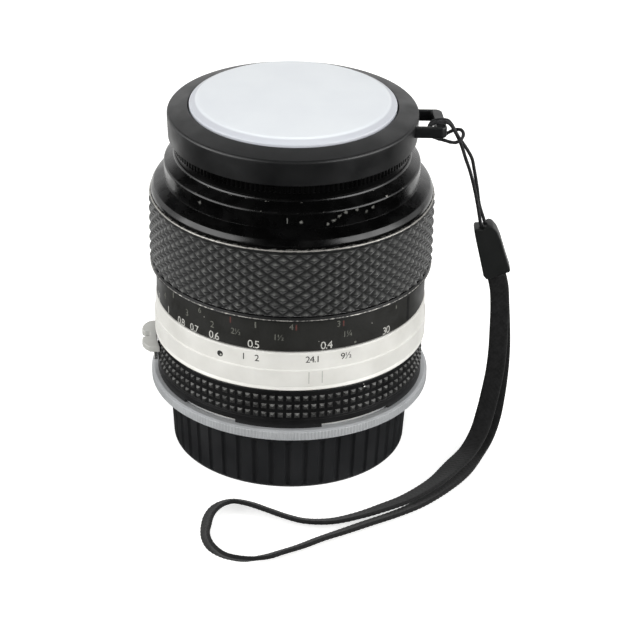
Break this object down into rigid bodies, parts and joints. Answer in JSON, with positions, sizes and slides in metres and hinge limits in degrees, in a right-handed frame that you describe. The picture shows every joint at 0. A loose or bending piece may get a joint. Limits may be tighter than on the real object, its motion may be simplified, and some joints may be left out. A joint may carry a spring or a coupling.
{
  "type": "prime camera lens with caps and strap",
  "caption": "Manual-focus prime lens standing on its rear cap, with focus and aperture rings, a mount adapter ring and a tethered push-off front cap on a wrist strap.",
  "frame": {"origin": "centre of the rear cap's flat underside, on the surface that the lens stands on", "axes": "+Z along the optical axis from the rear cap to the front cap, -Y towards the side that shows the index dot, +X towards the cap's strap lug"},
  "size_m": [0.0873, 0.0958, 0.087],
  "materials": {
    "black_plastic": "moulded, matte",
    "black_paint": "gloss paint on aluminium, worn at the edges",
    "black_satin": "satin black anodised",
    "satin_chrome": "satin",
    "adapter_metal": "satin, finely knurled edge",
    "grip_rubber": "moulded pyramids, dusty",
    "steel": "polished",
    "blade_steel": "blackened",
    "brass": "turned",
    "coated_glass": "polished, coated",
    "dome_plastic": "cool white, translucent, satin",
    "cord_fabric": "braided",
    "webbing": "woven, matte"
  },
  "bodies": {
    "mount_barrel": {"mount_adapter_ring": "adapter_metal", "bayonet_mount": "satin_chrome", "mount_screw_1": "steel", "mount_screw_2": "steel", "mount_screw_3": "steel", "rear_baffle": "black_satin", "guide_tube": "black_satin", "guide_key": "brass", "index_barrel": "satin_chrome"},
    "rear_cap": {"rear_cap": "black_plastic"},
    "stop_down_lever": {"stop_down_lever": "steel"},
    "aperture_ring": {"aperture_ring": "black_paint", "coupling_prong": "steel", "prong_screw_1": "steel", "prong_screw_2": "steel"},
    "optical_barrel": {"optical_barrel": "black_satin", "front_barrel": "black_paint", "name_ring": "black_satin", "front_cell": "black_satin", "rear_cell": "black_satin", "iris_housing": "black_satin", "front_glass": "coated_glass", "front_retaining_ring": "brass", "second_glass": "coated_glass", "glass_spacer": "brass", "third_glass": "coated_glass", "fourth_glass": "coated_glass", "middle_retaining_ring": "brass", "rear_glass": "coated_glass", "rear_retaining_ring": "brass"},
    "focus_ring": {"focus_ring": "black_paint", "focus_helicoid": "brass", "focus_grip": "grip_rubber"},
    "iris_cam_ring": {"iris_cam_ring": "steel"},
    "iris_blade_1": {"iris_blade_1": "blade_steel"},
    "iris_blade_2": {"iris_blade_2": "blade_steel"},
    "iris_blade_3": {"iris_blade_3": "blade_steel"},
    "iris_blade_4": {"iris_blade_4": "blade_steel"},
    "iris_blade_5": {"iris_blade_5": "blade_steel"},
    "iris_blade_6": {"iris_blade_6": "blade_steel"},
    "front_cap": {"cap_thread_ring": "black_plastic", "cap_ring": "black_plastic", "cap_dome": "dome_plastic", "tether_cord": "cord_fabric", "strap_sleeve": "black_plastic", "wrist_strap": "webbing"}
  },
  "joints": [
    {"name": "rear_cap_twist", "type": "hinge", "parent": "mount_barrel", "child": "rear_cap", "pos_m": [0, 0, 0], "axis": [0, 0, 1], "range_deg": [0, 60]},
    {"name": "stop_down_swing", "type": "hinge", "parent": "mount_barrel", "child": "stop_down_lever", "pos_m": [0, 0, 0.019], "axis": [0, 0, 1], "range_deg": [0, 20], "stiffness_Nm_per_rad": 0.01},
    {"name": "aperture_turn", "type": "hinge", "parent": "mount_barrel", "child": "aperture_ring", "pos_m": [0, 0, 0.024], "axis": [0, 0, 1], "range_deg": [0, 50]},
    {"name": "focus_travel", "type": "slide", "parent": "mount_barrel", "child": "optical_barrel", "axis": [0, 0, 1], "range_m": [0, 0.0275]},
    {"name": "focus_turn", "type": "hinge", "parent": "optical_barrel", "child": "focus_ring", "pos_m": [0, 0, 0.05], "axis": [0, 0, 1], "range_deg": [0, 300]},
    {"name": "iris_cam_turn", "type": "hinge", "parent": "optical_barrel", "child": "iris_cam_ring", "pos_m": [0, 0, 0.0504], "axis": [0, 0, 1], "range_deg": [0, 50.5]},
    {"name": "blade_1_swing", "type": "hinge", "parent": "optical_barrel", "child": "iris_blade_1", "pos_m": [0, -0.0155, 0.04655], "axis": [0, 0, 1], "range_deg": [0, 28.5]},
    {"name": "blade_2_swing", "type": "hinge", "parent": "optical_barrel", "child": "iris_blade_2", "pos_m": [0.01342, -0.00775, 0.04715], "axis": [0, 0, 1], "range_deg": [0, 28.5]},
    {"name": "blade_3_swing", "type": "hinge", "parent": "optical_barrel", "child": "iris_blade_3", "pos_m": [0.01342, 0.00775, 0.04775], "axis": [0, 0, 1], "range_deg": [0, 28.5]},
    {"name": "blade_4_swing", "type": "hinge", "parent": "optical_barrel", "child": "iris_blade_4", "pos_m": [0, 0.0155, 0.04835], "axis": [0, 0, 1], "range_deg": [0, 28.5]},
    {"name": "blade_5_swing", "type": "hinge", "parent": "optical_barrel", "child": "iris_blade_5", "pos_m": [-0.01342, 0.00775, 0.04895], "axis": [0, 0, 1], "range_deg": [0, 28.5]},
    {"name": "blade_6_swing", "type": "hinge", "parent": "optical_barrel", "child": "iris_blade_6", "pos_m": [-0.01342, -0.00775, 0.04955], "axis": [0, 0, 1], "range_deg": [0, 28.5]},
    {"name": "front_cap_pull", "type": "slide", "parent": "optical_barrel", "child": "front_cap", "axis": [0, 0, 1], "range_m": [0, 0.02]}
  ],
  "couplings": [
    {"joint": "focus_travel", "follows": "focus_turn", "m_per_rad": 0.00525},
    {"joint": "iris_cam_turn", "follows": "aperture_turn", "ratio": 1},
    {"joint": "blade_1_swing", "follows": "aperture_turn", "ratio": 0.56},
    {"joint": "blade_2_swing", "follows": "aperture_turn", "ratio": 0.56},
    {"joint": "blade_3_swing", "follows": "aperture_turn", "ratio": 0.56},
    {"joint": "blade_4_swing", "follows": "aperture_turn", "ratio": 0.56},
    {"joint": "blade_5_swing", "follows": "aperture_turn", "ratio": 0.56},
    {"joint": "blade_6_swing", "follows": "aperture_turn", "ratio": 0.56}
  ]
}
